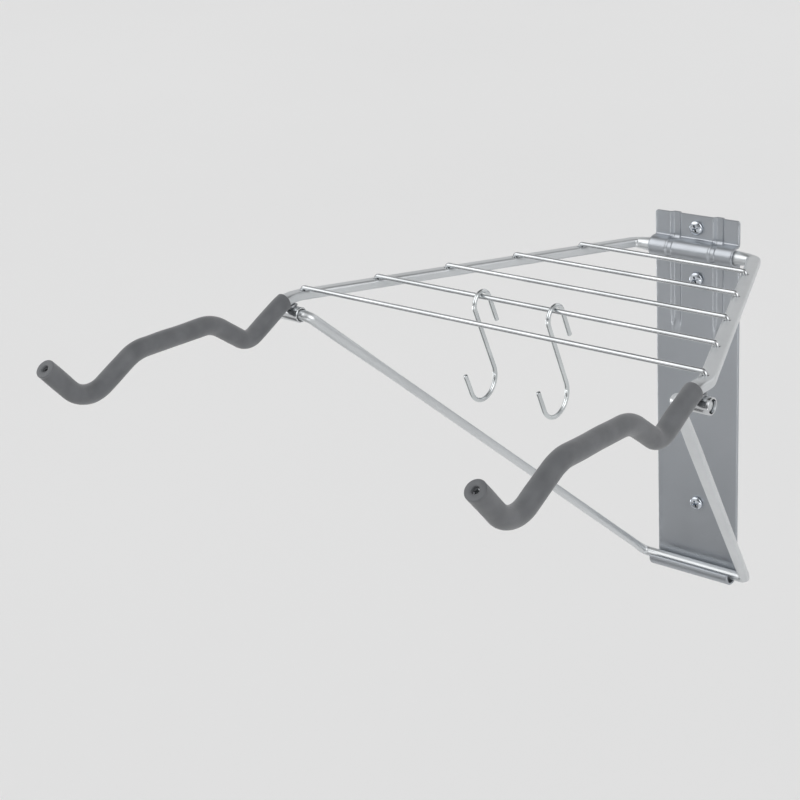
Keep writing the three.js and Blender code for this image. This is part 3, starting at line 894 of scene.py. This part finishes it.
def add_grip(side, sign):
    """One foam sleeve: a hollow sweep along the cradle with soft lips and a hole at its tip."""
    low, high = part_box(f"{side}_grip")
    outer = (high.x - low.x) / 2
    corners = [ARM_CORNERS[-1]] + CRADLE_CORNERS
    line = BentLine(frame_corners([(sign * x, *rest) for x, *rest in corners]))
    start = line.length_where(frame_reach, GRIP_START_REACH)
    rings = []
    for length, radius in grip_profile(start, line.length, outer):
        ring = line_circle(line, length, radius, GRIP_SIDES)
        if radius >= outer:
            centre = line.at(length)[0]
            ring = [soft(point, (point - centre).normalized()) for point in ring]
        rings.append(ring)
    mesh = mesh_of_rings(f"{side}_foam_grip", rings, closed=True)
    grip = add_piece(mesh.name, mesh, "frame", FOAM, [f"{side}_grip"])
    add_crimp(side, line, line.length - GRIP_END_WALL)


def soft(point, outward):
    """Moves a point of a soft surface in or out a little."""
    return point + outward * GRIP_UNEVEN * noise.noise(point * GRIP_UNEVEN_SCALE)


def add_crimp(side, line, length):
    """The tube's crimped end in the grip's end hole: a ring round a five-pointed opening."""
    turns = [2 * math.pi * CRIMP_POINTS * i / CRIMP_STEPS for i in range(CRIMP_STEPS)]
    star = [(CRIMP_RADIUS + CRIMP_WAVE * math.cos(a)) * MM for a in turns]
    rim = [GRIP_END_HOLE - CRIMP_CLEARANCE] * CRIMP_STEPS
    rings = []
    for depth, radii in ((0, rim), (0, star), (-CRIMP_THICKNESS, star), (-CRIMP_THICKNESS, rim)):
        centre = line.at(length + depth)[0]
        ring = line_circle(line, length + depth, 1, CRIMP_STEPS)
        rings.append([centre + (point - centre) * radius for point, radius in zip(ring, radii)])
    mesh = mesh_of_rings(f"{side}_tube_crimp", rings, closed=True)
    add_piece(mesh.name, mesh, "frame", WELD_STEEL)


def add_sleeve(side, sign):
    """A short turned sleeve, open at both ends, with rounded rims."""
    start, end = SLEEVE_X
    edge = SLEEVE_EDGE
    bevel = edge * SLEEVE_EDGE_SHARE
    profile = [
        (start, SLEEVE_RADIUS - edge),
        (start + bevel, SLEEVE_RADIUS - bevel),
        (start + edge, SLEEVE_RADIUS),
        (end - edge, SLEEVE_RADIUS),
        (end - bevel, SLEEVE_RADIUS - bevel),
        (end, SLEEVE_RADIUS - edge),
        (end, SLEEVE_BORE),
        (start, SLEEVE_BORE),
    ]
    pivot = JOINT_PLACE["strut_hinge"]
    axis = Vector((sign, 0, 0))
    mesh = turned(f"{side}_turned_sleeve", profile, Vector((0, pivot.y, pivot.z)), axis, closed=True)
    add_piece(mesh.name, mesh, "frame", SLEEVE_ZINC, [f"{side}_pivot_sleeve"])
    add_sleeve_weld(side, sign)


def add_sleeve_weld(side, sign):
    """A bead of weld round the spot where a pivot sleeve meets the arm above it."""
    pivot = JOINT_PLACE["strut_hinge"]
    arm_side = Vector((sign * CRADLE_X * MM, pivot.y, pivot.z))
    top = arm_side + FRAME_UP * (SLEEVE_RADIUS + WELD_LIFT)
    rings = []
    for i in range(WELD_STEPS):
        angle = 2 * math.pi * i / WELD_STEPS
        out = Vector((math.cos(angle), math.sin(angle), 0))
        sag = math.cos(2 * angle) * WELD_SPREAD ** 2 / (4 * SLEEVE_RADIUS)
        centre = top + out * WELD_SPREAD + FRAME_UP * sag
        thick = WELD_BEAD * (1 + WELD_UNEVEN * noise.noise(centre * WELD_UNEVEN_SCALE))
        rings.append(circle(centre, out, FRAME_UP, thick, WELD_SIDES))
    mesh = mesh_of_rings(f"{side}_sleeve_weld", rings, closed=True)
    add_piece(mesh.name, mesh, "frame", WELD_STEEL)


# Strut and hooks -------------------------------------------------------------------------------

def add_strut():
    """The U-shaped prop: round in the sleeves and the gutter, pressed flat along its legs."""
    pivot = JOINT_PLACE["strut_hinge"]
    pivot = Vector((0, pivot.y, pivot.z))
    down = STRUT_FOOT - pivot
    length = down.length
    down.normalize()
    half = [
        (STRUT_END_X, 0, 0),
        (STRUT_TOP_X, 0, STRUT_BEND),
        (STRUT_FOOT_X, length / MM, STRUT_BEND),
    ]

    def corner(x, along, radius):
        return (*(pivot + Vector((x, 0, 0)) * MM + down * along * MM), radius * MM)

    corners = [corner(-x, *rest) for x, *rest in half] + [corner(*values) for values in reversed(half)]
    line = BentLine(corners)
    round_from, round_to = [length - gap for gap in STRUT_ROUNDED]

    def pressed(point):
        along = (point - pivot).dot(down)
        begun = smoothstep(*STRUT_PRESSED, along / length)
        return begun * (1 - smoothstep(round_from, round_to, along))

    normal = down.cross(Vector((1, 0, 0))).normalized()
    rings = swept_rings(line, normal, STRUT_RADIUS, STRUT_SIDES, pressed, STRUT_FLAT)
    mesh = mesh_of_rings("prop_strut", domed_ends(rings, STRUT_DOME, STRUT_DOME_STEPS))
    add_piece(mesh.name, mesh, "strut", FRAME_PAINT, ["support_strut"])


def add_hook(side):
    """An S-hook, drawn upright in side view round its upper loop's centre and then leant back."""
    pin = JOINT_PLACE[f"hook_{side}_swing"]
    drop = HOOK_TOP_LOOP * MM - HOOK_RADIUS - WIRE_RADIUS - CONTACT_GAP
    centre = pin - Vector((0, 0, drop))
    top, bottom = HOOK_TOP_LOOP, HOOK_BOTTOM_LOOP
    front = -top - 2 * bottom
    outline = [
        (top, -HOOK_TOP_TAIL, 0),
        (top, top, top),
        (-top, top, top),
        (-top, -HOOK_SHANK - bottom, bottom),
        (front, -HOOK_SHANK - bottom, bottom),
        (front, -HOOK_SHANK + HOOK_BOTTOM_TAIL, 0),
    ]
    lean = Matrix.Rotation(HOOK_LEAN, 3, "X")
    corners = [(*(centre + lean @ Vector((0, y, z)) * MM), radius * MM) for y, z, radius in outline]
    line = BentLine(corners)
    across = Vector((1, 0, 0))
    rings = domed_ends(swept_rings(line, across, HOOK_RADIUS, HOOK_SIDES), HOOK_DOME)
    mesh = mesh_of_rings(f"{side}_hook_rod", rings)
    add_piece(mesh.name, mesh, f"hook_{side}", HOOK_WIRE, [f"s_hook_{side}"])


# Stage -----------------------------------------------------------------------------------------

def view_axes(azimuth, elevation, roll):
    """The camera's own X, Y and Z axes. Azimuth 0 looks along +Y."""
    forward = Vector((
        -math.sin(azimuth) * math.cos(elevation),
        math.cos(azimuth) * math.cos(elevation),
        -math.sin(elevation),
    ))
    right = Vector((math.cos(azimuth), math.sin(azimuth), 0))
    up = right.cross(forward)
    across = right * math.cos(roll) + up * math.sin(roll)
    return across, (-forward).cross(across), -forward


def add_camera():
    """The camera at the photograph's viewing angle."""
    camera = bpy.data.objects.new("camera", bpy.data.cameras.new("camera"))
    bpy.context.collection.objects.link(camera)
    camera.data.lens = CAMERA_LENS
    camera.data.sensor_width = SENSOR_WIDTH
    axes = Matrix(view_axes(CAMERA_AZIMUTH, CAMERA_ELEVATION, CAMERA_ROLL)).transposed()
    camera.matrix_world = Matrix.Translation(CAMERA_PLACE) @ axes.to_4x4()
    bpy.context.scene.camera = camera


def floor_height():
    """The floor's z, below the lowest point of the rack."""
    return cad_bounds[0][2] - FLOOR_DROP


def add_level_plane(name, place, size, material):
    """A level rectangle for the setting, not part of the object and attached to none of its bodies."""
    mesh = bpy.data.meshes.new(name)
    half_x, half_y = size[0] / 2, size[1] / 2
    corners = [(-half_x, -half_y, 0), (half_x, -half_y, 0), (half_x, half_y, 0), (-half_x, half_y, 0)]
    mesh.from_pydata(corners, [], [(0, 1, 2, 3)])
    mesh.materials.append(material)
    plane = bpy.data.objects.new(name, mesh)
    plane.location = place
    bpy.context.collection.objects.link(plane)
    return plane


def add_floor():
    """A plain pale floor without gloss, so that the cards don't show in it."""
    nodes = Nodes("floor_paper")
    shades = nodes.noise(scale=0.4)
    nodes.colour(nodes.ramp(shades, low=srgb(238, 238, 238), high=srgb(240, 240, 240)))
    nodes.shader.inputs["Roughness"].default_value = 0.95
    nodes.shader.inputs["Specular IOR Level"].default_value = 0
    add_level_plane("floor", (0, 0, floor_height()), (FLOOR_SIZE, FLOOR_SIZE), nodes.material)


def add_cards():
    """Glowing cards under the rack, one dim and two bright, that show only in reflections."""
    for number, (place, size, brightness) in enumerate(CARDS, 1):
        nodes = Nodes(f"card_{number}")
        nodes.shader.inputs["Base Color"].default_value = (0, 0, 0, 1)
        nodes.shader.inputs["Roughness"].default_value = 1
        nodes.shader.inputs["Emission Color"].default_value = (1, 1, 1, 1)
        nodes.shader.inputs["Emission Strength"].default_value = brightness
        nodes.material.cycles.emission_sampling = "NONE"
        lifted = (place.x, place.y, floor_height() + CARD_LIFT)
        card = add_level_plane(f"card_{number}", lifted, size, nodes.material)
        card.visible_camera = False
        card.visible_diffuse = False
        card.visible_shadow = False


def add_sky():
    """A soft studio sky: an even level with large soft boxes and dark flags."""
    world = bpy.data.worlds.new("studio")
    bpy.context.scene.world = world
    world.use_nodes = True
    tree = world.node_tree
    direction = tree.nodes.new("ShaderNodeTexCoord").outputs["Generated"]

    def math_node(operation, a, b):
        node = tree.nodes.new("ShaderNodeMath")
        node.operation = operation
        for socket, value in zip(node.inputs, (a, b)):
            if hasattr(value, "default_value"):
                tree.links.new(value, socket)
            else:
                socket.default_value = value
        return node.outputs[0]

    def area(vector, start, end, brightness):
        toward = tree.nodes.new("ShaderNodeVectorMath")
        toward.operation = "DOT_PRODUCT"
        tree.links.new(direction, toward.inputs[0])
        toward.inputs[1].default_value = vector.normalized()
        step = tree.nodes.new("ShaderNodeMapRange")
        step.interpolation_type = "SMOOTHSTEP"
        tree.links.new(toward.outputs["Value"], step.inputs["Value"])
        limits = {"From Min": start, "From Max": end, "To Min": 0, "To Max": brightness}
        for name, value in limits.items():
            step.inputs[name].default_value = value
        return step.outputs["Result"]

    level = SKY_LEVEL
    for values in SKY_AREAS:
        level = math_node("ADD", level, area(*values))
    level = math_node("MAXIMUM", level, SKY_DARKEST)
    seen = tree.nodes.new("ShaderNodeMix")
    ray = tree.nodes.new("ShaderNodeLightPath")
    tree.links.new(ray.outputs["Is Camera Ray"], seen.inputs["Factor"])
    tree.links.new(level, seen.inputs["A"])
    seen.inputs["B"].default_value = SKY_SEEN
    tree.links.new(seen.outputs["Result"], tree.nodes["Background"].inputs["Strength"])
    tree.nodes["Background"].inputs["Color"].default_value = (1, 1, 1, 1)


add_camera()
add_wall_plate()
for node in SCREWS:
    add_screw(node)
add_bent_tube()
for index in range(WIRE_COUNT):
    add_shelf_wire(index)
for side, sign in (("left", -1), ("right", 1)):
    add_grip(side, sign)
    add_sleeve(side, sign)
    add_hook(side)
add_strut()
add_floor()
add_cards()
add_sky()
bpy.context.scene.view_settings.view_transform = "Standard"
